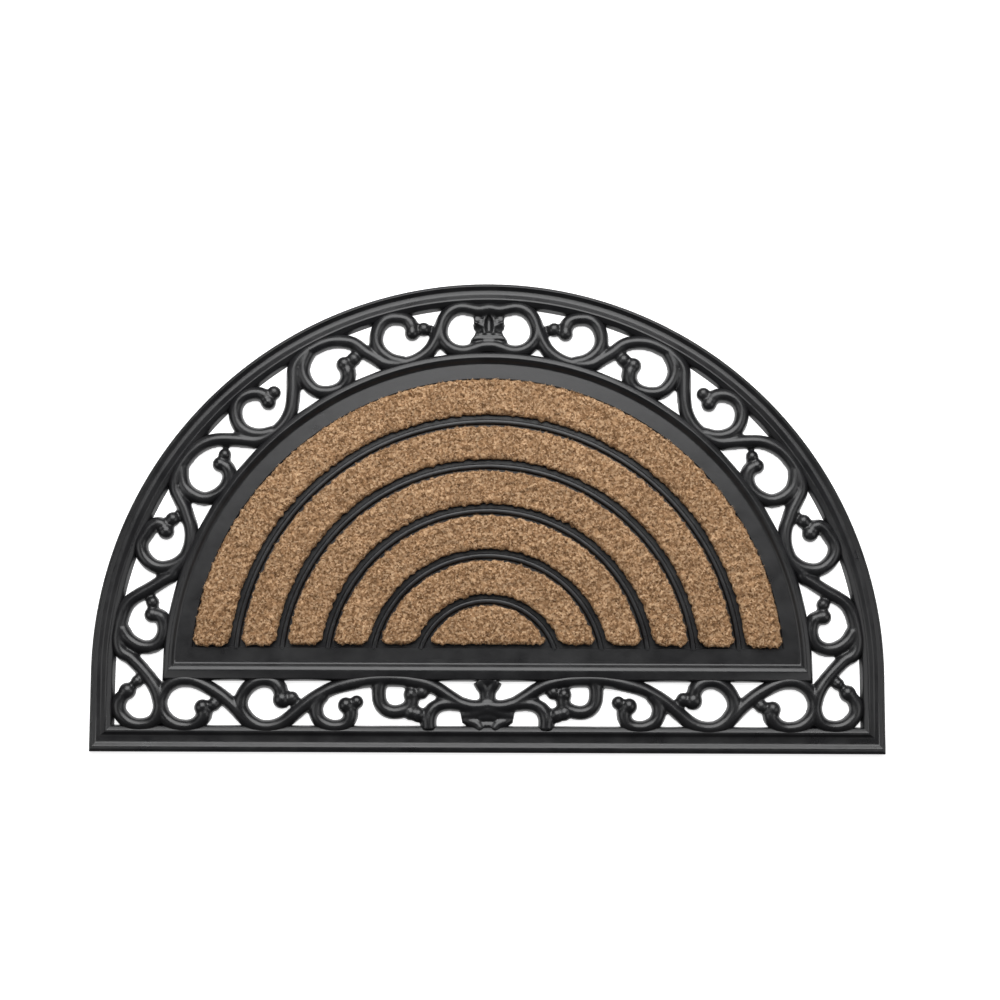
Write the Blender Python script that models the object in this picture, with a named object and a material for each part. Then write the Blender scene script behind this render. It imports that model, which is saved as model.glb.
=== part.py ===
"""Half-round doormat: one rubber moulding with a scrollwork border, and six bands of coir set in its tray."""

import math
from collections import namedtuple

import bmesh
import bpy

# Overall size in metres. The origin is on the floor under the middle of the mat, and +Y points to the arc.
WIDTH = 0.750
DEPTH = 0.450
ARC_RADIUS = WIDTH / 2
FRONT_Y = -DEPTH / 2
CENTRE_Y = FRONT_Y + DEPTH - ARC_RADIUS
ARC_STEPS = 60

# The rim and the tray are stacks of D-shaped loops. Each has its insets from the outer edge, for the arc and
# for the front, and a height.
Loop = namedtuple("Loop", "arc front height")
UNDERCUT = -0.002
RIM_PROFILE = [
    Loop(0.0000, 0.0000, UNDERCUT),
    Loop(0.0000, 0.0000, 0.0042),
    Loop(0.0020, 0.0032, 0.0078),
    Loop(0.0032, 0.0054, 0.0078),
    Loop(0.0060, 0.0092, 0.0054),
    Loop(0.0108, 0.0152, 0.0054),
    Loop(0.0140, 0.0182, 0.0084),
    Loop(0.0158, 0.0198, 0.0088),
    Loop(0.0200, 0.0236, 0.0056),
    Loop(0.0226, 0.0250, UNDERCUT),
]
TRAY_RADIUS = 0.3082
TRAY_CENTRE_Y = CENTRE_Y + 0.0010
TRAY_FRONT_Y = FRONT_Y + 0.067
BAND_HEIGHT = 0.0070
TRAY_PROFILE = [
    Loop(0.0000, 0.0000, UNDERCUT),
    Loop(0.0010, 0.0012, 0.0060),
    Loop(0.0028, 0.0034, 0.0094),
    Loop(0.0074, 0.0088, 0.0120),
    Loop(0.0088, 0.0106, 0.0120),
    Loop(0.0138, 0.0165, BAND_HEIGHT),
]

# The coir bands are rings about their own centre, cut off along one straight line at the front.
COIR_BANDS = 6
COIR_CENTRE_Y = CENTRE_Y + 0.003
COIR_FRONT_Y = FRONT_Y + 0.0995
COIR_INNERMOST = 0.0605
COIR_PITCH = 0.0430
COIR_GROOVE = 0.0100
COIR_OUTERMOST = 0.2780
COIR_TOP = 0.0130
COIR_EDGE = 0.0022
COIR_EDGE_BREAK = 0.3
COIR_FEWEST_STEPS = 16
COIR_STEPS_PER_BAND = 6
TRAY_FLOOR = 0.0025
GAP = 0.0003

# Every bar of the scrollwork is a rounded ridge of this half-width and height. Each curl ends in a knob.
BAR_HALF_WIDTH = 0.0070
BAR_HEIGHT = 0.0096
BAR_SINK = 0.0012
BAR_SIDES = 6
BAR_STEPS = 1
KNOB_RADIUS = 0.0070
KNOB_RISE = 0.0021
KNOB_HEIGHT = 0.0108
KNOB_SEGMENTS = 8
KNOB_RINGS = 6
NECK_SIZE = 0.92
TIP_SIZES = (0.60, 0.85, 0.45)

# Tables of the scrollwork are in millimetres: along and across the border, and where it isn't 1 the bar's size
# as a share of its full size. Round the arc, along is counted from its middle and across from the lane's
# middle. Along the front they are counted from the middle line and from the front edge.
LANE_MIDDLE = 0.3315
CURL_PLACES = [(103.0, 0.0, 0.0), (179.0, 0.0, 0.0), (256.5, 0.0, 0.0), (335.0, -0.5, -0.5), (412.8, -1.5, 0.4)]

# The vine swings low past the tray and high past the rim by turns, and throws off a curl each time. These
# rows are counted from a curl's place, which gives the curl's height and the vine's. The ends are each curl's
# neck, its knob, the leaf tip beside it and the tip's root.
VINE_START = [(41.5, 13.0), (45.5, 5.5), (49.0, -1.5), (53.0, -8.0)]
VINE_LOW = [(-49, -10), (-43, -15.8), (-31, -22), (-19.5, -23.8), (-6, -22.6), (5, -18), (12.6, -9.5), (19.5, -1)]
VINE_HIGH = [
    (-50, 10), (-43, 15.6), (-35, 19.8), (-25.5, 22.3), (-16.5, 22.8), (-4, 21.8), (9.5, 15.8), (15.8, 7.5), (22.3, -2.3),
]
CURL_LOW = [
    (-13, -22), (-3, -16.5), (3.3, -9), (6.1, -1), (5.5, 6.5), (2.2, 13.5), (-3.5, 19.6), (-11, 22.5), (-19, 21.2),
]
CURL_HIGH = [
    (-8, 21), (-1.5, 16), (4, 9.5), (6.4, 2), (6.5, -5.5), (4, -13.5), (-3.5, -20), (-12, -23.2), (-21, -23.4),
]
CURL_ENDS = [
    [(75.7, 16.5), (72.9, 10.5, 1.05), (73.8, 3.5, 1.02), (62.3, 5.6, 1.15), (54, 5.5)],
    [(149.4, -19), (145.8, -12, 1.08), (145.8, -4.3, 1.15), (135.2, -2.8, 1.12), (129, -4)],
    [(230.2, 16.5), (226.7, 11, 1.05), (227.3, 2.6, 1.08), (217.3, 7.0, 1.15), (216, 7.6)],
    [(304.2, -19.5), (301.0, -13, 1.08), (302.5, -6.8, 1.08), (292.6, -4.6, 1.08), (286, -4)],
    [(383.5, 16.5), (380.6, 11, 1.05), (384.5, 3.4, 1.15), (371.5, 3.0, 1.2), (362, 1.8)],
]

# The last curl of the arc and the corner's own.
VINE_LAST = [
    (421.5, -17.5), (428.5, -11.8), (435.5, -5.8), (442.4, 1), (449.2, 8.5), (456, 14.8), (463, 18), (472, 19.5),
    (482, 20.2), (493.5, 19.8), (503, 15.2),
]
CURL_LAST = [
    (482, 17.5), (489.8, 11), (494.8, 3), (496.8, -5.5), (495, -13.5), (490, -19), (481, -22), (473, -21),
]
ENDS_LAST = [(465.6, -17, 1.08), (464.8, -8.3, 1.12), (453, -6.3, 1.1), (446, -6)]
VINE_CORNER = [(338.8, 88.8), (331.5, 82), (325, 75.3), (319, 68), (313.7, 60, 1.08), (310.6, 52, 1.08), (309.6, 45)]
CURL_CORNER = [(310.9, 52, 1.05), (309.5, 44), (310.8, 36), (315.8, 28.6), (326, 25), (335, 26), (343, 31), (348, 39)]
ENDS_CORNER = [(347.5, 48), (340.5, 57, 1.2), (331.5, 66, 1.05), (326, 70)]

# The front's vine, its four curls counted from the corner, and the sprig beside the middle leaf.
FRONT_VINE = [
    (0, 44.5), (8, 43.3), (16, 43.6), (25, 46), (31.5, 49.8), (38.5, 54.3), (47.5, 59.3), (60, 63.8), (75, 66.3),
    (90, 67.2), (105, 67), (120, 65.3), (132, 62.9), (145, 59.6), (156.5, 54.4), (165.3, 49.3), (173.4, 43.3),
    (181, 37.3), (187, 32.3), (194, 27.4), (202, 24.3), (210, 23.6), (219, 25.4), (226, 29.3), (231.3, 33.9),
    (237.3, 40.3), (245.7, 48.2), (251.2, 52.6), (258.2, 57.3), (267, 61.8), (275, 65.2), (284, 67.4), (296, 65.6),
    (304.5, 59.3), (309, 50),
]
FRONT_CURLS = [
    [
        (300, 63.5), (306, 57.5), (309.2, 49.5), (308.7, 41.5), (305, 33.5),
        (297.5, 26.8), (288, 23.8), (278, 24.8), (270.3, 30.3, 1.05),
    ],
    [
        (216, 24.5), (223, 28.5), (229, 35), (232.8, 42.5), (232.8, 49.5), (229.5, 57),
        (223.5, 63.2), (216, 66.9), (208.5, 67.3), (201.6, 65.2, 1.05),
    ],
    [
        (156, 53.5), (161, 46.5), (162, 39.5), (159.5, 31.5), (152.5, 25.9),
        (143, 24), (134.6, 26.2), (130, 32),
    ],
    [
        (101, 66), (102.7, 60), (102.7, 53), (101.2, 46.5), (97.8, 41.7),
        (92.5, 38.8), (86.5, 38.1), (80, 39.5), (74.2, 43),
    ],
]
FRONT_ENDS = [
    [(267.0, 36.5, 1.08), (269.4, 41.8, 1.15), (258.7, 44.6, 1.12), (253, 46)],
    [(196.7, 60, 1.08), (194.5, 49.4, 1.26), (185, 50.6, 1.18), (178, 46)],
    [(129, 39), (133.7, 44.2, 1.15), (123.6, 47.4, 1.12), (122.4, 48.3)],
    [(71.5, 49.5), (72.3, 54.5, 1.07), (62.3, 56.6, 1.15), (54, 58)],
]
TWIG_KNOBS = [(56, 31, 1.05), (65.5, 36.5, 1.04), (72, 38, 1.0)]
SPRIG = [(20, 45), (29, 45.8), (38, 45.6), (47, 43.3), (53, 38.4, 1.05), (55.6, 31.5, 1.12), (55.3, 22, 1.12)]
TWIG = [(56, 33, 0.6), (65.5, 36.5, 0.8), (74, 38, 0.7)]
NECK = [(5.5, 69.5, 0.85), (5, 64, 0.80), (2.5, 58, 0.80), (1.5, 50, 0.9)]
CAP = [(0, 68.8, 0.8), (12.5, 68.6, 0.6)]
LEAF = [(0, 37, 1.2), (13, 35.5, 1.0), (24, 35, 0.5)]
FOOT = [(0, 29, 1.15), (8, 26, 0.9), (18.5, 21, 0.55)]

# The cartouche at the top of the arc, and the plain three-petalled flower in it.
CARTOUCHE = [
    (0, 19.5), (9, 18), (16, 19.5), (25, 21.5), (34.5, 19), (41.8, 12.2), (45.7, 4), (46.5, -4),
    (44, -11.5), (38.5, -17.5), (31, -20.8), (24, -21.6), (16, -20), (8, -17.8), (0, -17),
]
FLOWER_FOOT = [(0, -9.5, 0.85), (16, -10, 0.70)]
FLOWER_PETAL = [(0, -11, 0.80), (0, -1, 0.85), (0, 7, 0.88), (0, 16, 0.45)]
FLOWER_LOBE = [(2, -5, 0.60), (8, 2, 0.80), (13, 6.5, 0.70), (14, 5.5, 0.60)]


def clear_scene():
    for obj in list(bpy.data.objects):
        bpy.data.objects.remove(obj)


def new_collection(name, helper=False):
    collection = bpy.data.collections.new(name)
    bpy.context.scene.collection.children.link(collection)
    collection.hide_render = helper
    return collection


def material(name, colour, roughness):
    made = bpy.data.materials.new(name)
    made.use_nodes = True
    shader = made.node_tree.nodes["Principled BSDF"]
    shader.inputs["Base Color"].default_value = (*colour, 1.0)
    shader.inputs["Roughness"].default_value = roughness
    shader.inputs["Metallic"].default_value = 0.0
    return made


def d_outline(radius, front_y, centre_y=CENTRE_Y, steps=ARC_STEPS):
    """Points of a D lying on its straight side, anticlockwise from its front right corner. There are equally
    many whether or not its arc needs straight ends to reach the front."""
    sides = front_y < centre_y
    start = 0.0 if sides else math.asin((front_y - centre_y) / radius)
    count = steps if sides else steps + 2
    turns = [start + (math.pi - 2 * start) * i / count for i in range(count + 1)]
    arc = [(radius * math.cos(t), centre_y + radius * math.sin(t)) for t in turns]
    if sides:
        return [(radius, front_y), *arc, (-radius, front_y)]
    return arc


def rainbow_outline(outer, inner, front_y, steps):
    """Points of one coir band, anticlockwise from the front end of its outer edge."""
    outside = d_outline(outer, front_y, COIR_CENTRE_Y, steps)
    if inner <= 0:
        return outside
    return outside + d_outline(inner, front_y, COIR_CENTRE_Y, steps)[::-1]


def stacked_solid(name, collection, loops, ring=False):
    """Joins loops of equally many points, each (points, height), by extruding each into the next.
    A ring's last loop closes back on its first; any other solid is capped at both ends."""
    bm = bmesh.new()
    points, height = loops[0]
    first = [bm.verts.new((x, y, height)) for x, y in points]
    edges = [bm.edges.new((first[i - 1], first[i])) for i in range(len(first))]
    first_edges = edges
    if not ring:
        bm.faces.new(first)
    current = first
    for points, height in loops[1:]:
        made = bmesh.ops.extrude_edge_only(bm, edges=edges)["geom"]
        edges = [item for item in made if isinstance(item, bmesh.types.BMEdge)]
        new_edges = set(edges)
        above = {}
        for vert in current:
            for edge in vert.link_edges:
                other = edge.other_vert(vert)
                if any(link in new_edges for link in other.link_edges) and other not in current:
                    above[vert] = other
        current = [above[vert] for vert in current]
        for vert, (x, y) in zip(current, points):
            vert.co = (x, y, height)
        edges = [edge for edge in edges if edge.verts[0] in current and edge.verts[1] in current]
    if ring:
        bmesh.ops.bridge_loops(bm, edges=first_edges + edges)
    else:
        bm.faces.new(current)
    bmesh.ops.recalc_face_normals(bm, faces=bm.faces)
    mesh = bpy.data.meshes.new(name)
    bm.to_mesh(mesh)
    bm.free()
    obj = bpy.data.objects.new(name, mesh)
    collection.objects.link(obj)
    return obj


def d_stack(name, collection, radius, front_y, centre_y, profile, ring=False):
    loops = [(d_outline(radius - p.arc, front_y + p.front, centre_y), p.height) for p in profile]
    return stacked_solid(name, collection, loops, ring)


def coir_radii(index):
    """Outer and inner radius of a band, counted from the half disc in the middle."""
    outer = COIR_INNERMOST + index * COIR_PITCH
    if index == COIR_BANDS - 1:
        outer = COIR_OUTERMOST
    inner = COIR_INNERMOST + (index - 1) * COIR_PITCH + COIR_GROOVE if index else 0.0
    return outer, inner


def coir_solid(name, collection, index, profile):
    """A band of coir, or with negative insets the pocket that it sits in."""
    outer, inner = coir_radii(index)
    steps = COIR_FEWEST_STEPS + COIR_STEPS_PER_BAND * index
    loops = []
    for point in profile:
        hole = inner + point.arc if inner else 0.0
        outline = rainbow_outline(outer - point.arc, hole, COIR_FRONT_Y + point.front, steps)
        loops.append((outline, point.height))
    return stacked_solid(name, collection, loops)


def bar(name, collection, points, closed=False, mirror=1):
    """One bar of scrollwork through points of (x, y, size). Its section's lower half reaches below the floor."""
    curve = bpy.data.curves.new(name, "CURVE")
    curve.dimensions = "3D"
    curve.bevel_depth = BAR_HALF_WIDTH
    curve.bevel_resolution = (BAR_SIDES - 4) // 2
    curve.resolution_u = BAR_STEPS
    curve.use_fill_caps = True
    spline = curve.splines.new("BEZIER")
    spline.use_cyclic_u = closed
    spline.bezier_points.add(len(points) - 1)
    for point, (x, y, size) in zip(spline.bezier_points, points):
        point.co = (mirror * x, y, 0.0)
        point.radius = size
        point.handle_left_type = "AUTO"
        point.handle_right_type = "AUTO"
    guide = bpy.data.objects.new(name + "_guide", curve)
    flat_top = BAR_HALF_WIDTH * math.cos(math.pi / BAR_SIDES)
    guide.scale.z = (BAR_HEIGHT + BAR_SINK) / flat_top
    guide.location.z = -BAR_SINK
    collection.objects.link(guide)
    bpy.context.view_layer.update()
    evaluated = guide.evaluated_get(bpy.context.evaluated_depsgraph_get())
    mesh = bpy.data.meshes.new_from_object(evaluated)
    mesh.transform(guide.matrix_world)
    bm = bmesh.new()
    bm.from_mesh(mesh)
    bmesh.ops.remove_doubles(bm, verts=bm.verts, dist=1e-6)
    bmesh.ops.recalc_face_normals(bm, faces=bm.faces)
    bm.to_mesh(mesh)
    bm.free()
    bpy.data.objects.remove(guide)
    obj = bpy.data.objects.new(name, mesh)
    collection.objects.link(obj)
    return obj


def on_arc(row):
    """World place and size of a row that is counted round the arc."""
    turn = math.pi / 2 - row[0] / 1000 / LANE_MIDDLE
    radius = LANE_MIDDLE + row[1] / 1000
    size = row[2] if len(row) > 2 else 1.0
    return radius * math.cos(turn), CENTRE_Y + radius * math.sin(turn), size


def on_front(row):
    """World place and size of a row that is counted along the front."""
    return row[0] / 1000, FRONT_Y + row[1] / 1000, row[2] if len(row) > 2 else 1.0


def from_curl(rows, along, across):
    """Rows counted from a curl's place, as rows of the arc."""
    return [(along + row[0], across + row[1], *row[2:]) for row in rows]


def across_middle(rows):
    """The whole of a bar that starts on the middle line, from its right half."""
    return [(-row[0], *row[1:]) for row in rows[:0:-1]] + rows


def arc_vine():
    """The vine from the cartouche to the corner."""
    rows = list(VINE_START)
    for i, (along, _, across) in enumerate(CURL_PLACES):
        swing = VINE_HIGH if i % 2 else VINE_LOW
        first = 1 if i == 0 else 0
        last = -2 if i == len(CURL_PLACES) - 1 else None
        rows += from_curl(swing, along, across)[first:last]
    return [on_arc(row) for row in rows + VINE_LAST] + [on_front(row) for row in VINE_CORNER]


def curls():
    """Points of every curl of the right half, in order from the arc's middle: its ring, then its ends."""
    made = []
    for i, (along, across, _) in enumerate(CURL_PLACES):
        ring = from_curl(CURL_HIGH if i % 2 else CURL_LOW, along, across)
        made.append([on_arc(row) for row in ring + CURL_ENDS[i]])
    made.append([on_arc(row) for row in CURL_LAST + ENDS_LAST])
    made.append([on_front(row) for row in CURL_CORNER + ENDS_CORNER])
    for ring, ends in zip(FRONT_CURLS, FRONT_ENDS):
        made.append([on_front(row) for row in ring + ends])
    return made


def knob(name, collection, point, mirror=1):
    """A round knob on the end of a bar, a little higher than the bar, at a point of (x, y, size)."""
    x, y, size = point
    radius = KNOB_RADIUS * size
    bm = bmesh.new()
    bmesh.ops.create_uvsphere(bm, u_segments=KNOB_SEGMENTS, v_segments=KNOB_RINGS, radius=radius)
    stretch = (KNOB_HEIGHT - KNOB_RISE) / radius
    bmesh.ops.scale(bm, vec=(1.0, 1.0, stretch), verts=bm.verts)
    bmesh.ops.translate(bm, vec=(mirror * x, y, KNOB_RISE), verts=bm.verts)
    mesh = bpy.data.meshes.new(name)
    bm.to_mesh(mesh)
    bm.free()
    obj = bpy.data.objects.new(name, mesh)
    collection.objects.link(obj)
    return obj


def scrollwork(collection):
    """The bars that come in pairs, then those that cross the middle line."""
    bars = [("arc_vine", arc_vine()), ("flower_lobe", [on_arc(row) for row in FLOWER_LOBE])]
    for name, rows in (("sprig", SPRIG), ("twig", TWIG), ("neck", NECK)):
        bars.append((name, [on_front(row) for row in rows]))
    knobs = [(f"twig_knob_{i}", on_front(row)) for i, row in enumerate(TWIG_KNOBS)]
    for i, points in enumerate(curls()):
        end = points[-3]
        bars.append((f"curl_{i}", points[:-3] + [(*end[:2], NECK_SIZE)]))
        bars.append((f"curl_tip_{i}", [(*point[:2], size) for point, size in zip(points[-3:], TIP_SIZES)]))
        knobs.append((f"curl_knob_{i}", end))
    for side, mirror in (("right", 1), ("left", -1)):
        for name, points in bars:
            bar(f"{name}_{side}", collection, points, mirror=mirror)
        for name, point in knobs:
            knob(f"{name}_{side}", collection, point, mirror)
    bar("cartouche", collection, [on_arc(row) for row in across_middle(CARTOUCHE)[1:]], closed=True)
    bar("flower_foot", collection, [on_arc(row) for row in across_middle(FLOWER_FOOT)])
    bar("flower_petal", collection, [on_arc(row) for row in FLOWER_PETAL])
    for name, rows in (("front_vine", FRONT_VINE), ("cap", CAP), ("leaf", LEAF), ("foot", FOOT)):
        bar(name, collection, [on_front(row) for row in across_middle(rows)])


def pocket_cutters(collection):
    """Cutters for the pockets, each wider than its coir by the gap and open at the top."""
    profile = [Loop(-GAP, -GAP, TRAY_FLOOR), Loop(-GAP, -GAP, 2 * COIR_TOP)]
    for index in range(COIR_BANDS):
        coir_solid(f"pocket_{index}", collection, index, profile)


def floor_cutter(collection):
    """A block under the floor, wider than the mat, which gives the moulding its flat back."""
    thickness = DEPTH / 10
    bpy.ops.mesh.primitive_cube_add(size=1, location=(0, 0, -thickness / 2))
    block = bpy.context.object
    block.name = "under_floor"
    block.scale = (2 * WIDTH, 2 * DEPTH, thickness)
    for owner in list(block.users_collection):
        owner.objects.unlink(block)
    collection.objects.link(block)


def combine(obj, operation, collection):
    modifier = obj.modifiers.new(operation.lower() + "_" + collection.name, "BOOLEAN")
    modifier.operation = operation
    modifier.operand_type = "COLLECTION"
    modifier.collection = collection
    modifier.solver = "MANIFOLD"


def hide_helpers(*collections):
    for collection in collections:
        for obj in collection.objects:
            obj.hide_render = True
            obj.display_type = "WIRE"


def build():
    clear_scene()
    mat = new_collection("half_round_doormat")
    joined = new_collection("moulded_pieces", helper=True)
    removed = new_collection("cutters", helper=True)
    rubber = material("rubber", (0.020, 0.020, 0.022), 0.55)
    coir = material("coir", (0.42, 0.25, 0.12), 0.95)

    frame = d_stack("rubber_frame", mat, ARC_RADIUS, FRONT_Y, CENTRE_Y, RIM_PROFILE, ring=True)
    d_stack("tray", joined, TRAY_RADIUS, TRAY_FRONT_Y, TRAY_CENTRE_Y, TRAY_PROFILE)
    scrollwork(joined)
    pocket_cutters(removed)
    floor_cutter(removed)
    combine(frame, "UNION", joined)
    combine(frame, "DIFFERENCE", removed)
    frame.data.materials.append(rubber)

    coir_profile = [
        Loop(0.0, 0.0, TRAY_FLOOR + GAP),
        Loop(0.0, 0.0, COIR_TOP - COIR_EDGE),
        Loop(COIR_EDGE_BREAK * COIR_EDGE, COIR_EDGE_BREAK * COIR_EDGE, COIR_TOP - COIR_EDGE_BREAK * COIR_EDGE),
        Loop(COIR_EDGE, COIR_EDGE, COIR_TOP),
    ]
    for index in range(COIR_BANDS):
        band = coir_solid(f"coir_band_{index}", mat, index, coir_profile)
        band.data.materials.append(coir)
    hide_helpers(joined, removed)


build()
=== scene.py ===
"""Looks of a half-round doormat: a black rubber moulding with a scrollwork border, and coir in its tray."""

import math
from collections import namedtuple

import bmesh
import bpy
import numpy as np
from mathutils import Euler, Matrix, Vector


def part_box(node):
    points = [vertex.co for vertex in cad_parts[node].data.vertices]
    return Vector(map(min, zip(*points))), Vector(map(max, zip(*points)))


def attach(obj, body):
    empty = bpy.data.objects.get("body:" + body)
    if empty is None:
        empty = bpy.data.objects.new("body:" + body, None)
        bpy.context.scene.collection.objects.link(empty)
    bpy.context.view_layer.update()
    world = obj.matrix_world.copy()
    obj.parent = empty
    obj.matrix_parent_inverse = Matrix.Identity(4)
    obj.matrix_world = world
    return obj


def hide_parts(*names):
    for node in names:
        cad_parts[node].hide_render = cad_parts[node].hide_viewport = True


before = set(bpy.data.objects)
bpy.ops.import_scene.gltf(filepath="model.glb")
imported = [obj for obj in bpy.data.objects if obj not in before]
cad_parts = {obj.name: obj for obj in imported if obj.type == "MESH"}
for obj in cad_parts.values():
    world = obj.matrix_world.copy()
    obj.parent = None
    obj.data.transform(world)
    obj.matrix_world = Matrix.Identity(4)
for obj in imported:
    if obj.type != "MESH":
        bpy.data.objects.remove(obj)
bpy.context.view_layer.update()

BODY = "root"
RUBBER_NODE = "rubber_frame"
SEED = 7
SHARP_ANGLE_DEG = 38

# Sizes in metres, from the frame where it has them.
FRAME_LOW, FRAME_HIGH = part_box(RUBBER_NODE)
FRONT_Y = FRAME_LOW.y
ARC_RADIUS = (FRAME_HIGH.x - FRAME_LOW.x) / 2
CENTRE_Y = FRAME_HIGH.y - ARC_RADIUS
ARC_STEPS = 180

# Sections of the rim and the tray, from the outer edge inwards. A row has its inset along the arc and along
# the front, its height, and how far the corner there is rounded.
Point = namedtuple("Point", "arc front height round")
RIM_SECTION = [
    Point(0.0000, 0.0000, 0.0000, 0.0000),
    Point(0.0000, 0.0000, 0.0064, 0.0010),
    Point(0.0022, 0.0036, 0.0080, 0.0014),
    Point(0.0030, 0.0052, 0.0080, 0.0012),
    Point(0.0060, 0.0092, 0.0054, 0.0012),
    Point(0.0098, 0.0154, 0.0054, 0.0014),
    Point(0.0148, 0.0186, 0.0083, 0.0010),
    Point(0.0160, 0.0200, 0.0085, 0.0010),
    Point(0.0202, 0.0244, 0.0056, 0.0014),
    Point(0.0226, 0.0256, 0.0000, 0.0000),
]
ROUND_STEPS = 4
ROUND_REACH = 0.48
TRAY_RADIUS = 0.3082
TRAY_CENTRE_Y = CENTRE_Y + 0.0010
TRAY_FRONT_Y = FRONT_Y + 0.0670
TRAY_SECTION = [
    Point(0.0000, 0.0000, 0.0000, 0.0000),
    Point(0.0012, 0.0006, 0.0070, 0.0010),
    Point(0.0030, 0.0018, 0.0098, 0.0012),
    Point(0.0066, 0.0094, 0.0113, 0.0008),
    Point(0.0074, 0.0104, 0.0113, 0.0008),
    Point(0.0094, 0.0134, 0.0098, 0.0010),
    Point(0.0116, 0.0160, 0.0076, 0.0010),
    Point(0.0128, 0.0172, 0.0070, 0.0004),
    Point(0.0140, 0.0184, 0.0070, 0.0000),
]
COIR_CENTRE_Y = CENTRE_Y + 0.0015
COIR_BANDS = 6
COIR_GROOVE = 0.0116

# The step from the tray's flat band down to the floor under the coir, and the height of that floor.
STEP_OUT = 0.0014
STEP_FRONT = 0.0010
STEP_EDGE = 0.0004
STEP_LEAN = 0.0007
FLOOR_HEIGHT = 0.0046

# The ribs between the coir bands. Across a rib, the first value is counted outwards from its middle.
RIB_OUT = 0.0048
RIB_ROOT = FLOOR_HEIGHT - 0.001
RIB_SECTION = [
    Point(-0.0032, 0.0, RIB_ROOT, 0.0000),
    Point(-0.0017, 0.0, 0.0080, 0.0010),
    Point(0.0017, 0.0, 0.0080, 0.0010),
    Point(0.0032, 0.0, RIB_ROOT, 0.0000),
]

# The scrollwork's bars, its knobs and the leaf tips beside them, and how all of it is melted and thinned.
BAR_HALF_WIDTH = 0.0072
BAR_HEIGHT = 0.0098
BAR_SIDES = 20
BAR_STEPS = 4
CURL_END_SIZE = 0.95
TIP_STEM_SIZES = (0.55, 0.60, 0.35)
KNOB_SEGMENTS = 24
KNOB_RINGS = 16
KNOB_RADIUS = 0.0070
KNOB_RISE = 0.0021
KNOB_HEIGHT = 0.0110
TIP_RADIUS = 0.0060
TIP_HEIGHT = 0.0094
VOXEL = 0.00120
SMOOTH_SHARE = 0.5
SMOOTH_PASSES = 4
KEPT_FACES = 0.58

# Tables of the scrollwork are in millimetres: along and across the border, and where it isn't 1 the bar's
# size as a share of its full size. Round the arc, along is counted from its middle and across from the lane's
# middle. Along the front they are counted from the middle line and from the front edge.
LANE_MIDDLE = 0.3315

# Where the first curls of the arc are: along it, and how far across the curl and the vine are moved there.
CURL_PLACES = [
    (103.0, 0.0, 0.0),
    (179.0, 0.0, 0.0),
    (256.5, 0.0, 0.0),
    (335.0, -0.5, -0.5),
    (412.8, -1.5, 0.4),
]

# The vine swings low past the tray and high past the rim by turns, and throws off a curl each time. The rows
# of both, but not the vine's start, are counted from a curl's place. The ends are a curl's last points, its
# knob, the leaf tip beside it and the tip's root.
VINE_START = [(41.5, 13.0), (45.5, 5.5), (49.0, -1.5), (53.0, -8.0)]
VINE_LOW = [
    (-49, -10), (-43, -15.8), (-31, -22), (-19.5, -23.8),
    (-6, -22.6), (5, -18), (12.6, -9.5), (19.5, -1),
]
VINE_HIGH = [
    (-50, 10), (-43, 15.6), (-35, 19.8), (-25.5, 22.3), (-16.5, 22.8),
    (-4, 21.8), (9.5, 15.8), (15.8, 7.5), (22.3, -2.3),
]
CURL_LOW = [
    (-13, -22), (-3, -16.5), (3.3, -9), (6.1, -1), (5.5, 6.5),
    (2.2, 13.5), (-3.5, 19.6), (-11, 22.5), (-19, 21.2),
]
CURL_HIGH = [
    (-8, 21), (-1.5, 16), (4, 9.5), (6.4, 2), (6.5, -5.5),
    (4, -13.5), (-3.5, -20), (-12, -23.2), (-21, -23.4),
]
CURL_ENDS = [
    [(75.7, 16.5), (72.9, 10.5, 1.05), (73.8, 3.3, 1.06), (62.3, 5.2, 1.18), (53.5, 6.6)],
    [(149.2, -19, 1.08), (145.4, -12, 1.15), (145.8, -4.6, 1.15), (135.2, -3.4, 1.2), (129, -5)],
    [(230.2, 16.5), (226.7, 11, 1.05), (227.3, 2.6, 1.08), (217.3, 7.0, 1.15), (216, 7.6)],
    [(304.2, -19.5, 1.05), (301.0, -13, 1.1), (302.5, -6.8, 1.08), (292.6, -4.6, 1.08), (286, -4)],
    [(383.5, 16.5), (380.6, 11, 1.05), (384.5, 3.4, 1.15), (371.5, 3.0, 1.2), (362, 1.8)],
]

# The last curl of the arc, counted from the arc's middle, and the corner's own, counted as the front is.
VINE_LAST = [
    (421.5, -17.5), (428.5, -11.8), (435.5, -5.8), (442.4, 1), (449.2, 8.5), (456, 14.8),
    (463, 18), (472, 19.5), (482, 20.2), (493.5, 19.8), (503, 15.2),
]
CURL_LAST = [
    (482, 17.5), (489.8, 11), (494.8, 3), (496.8, -5.5), (495, -13.5), (490, -19), (481, -22), (473, -21),
]
ENDS_LAST = [(465.6, -17, 1.08), (464.8, -8.3, 1.12), (453, -6.3, 1.1), (446, -6)]
VINE_CORNER = [
    (338.8, 88.8), (331.5, 82), (325, 75.3), (319, 68),
    (313.7, 60, 1.08), (310.6, 52, 1.08), (309.6, 45),
]
CURL_CORNER = [
    (310.9, 52, 1.05), (309.5, 44), (310.8, 36), (315.8, 28.6),
    (326, 25), (335, 26), (343, 31), (348, 39),
]
ENDS_CORNER = [(347.5, 48), (340.5, 57, 1.2), (331.5, 66, 1.05), (326, 70)]

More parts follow.
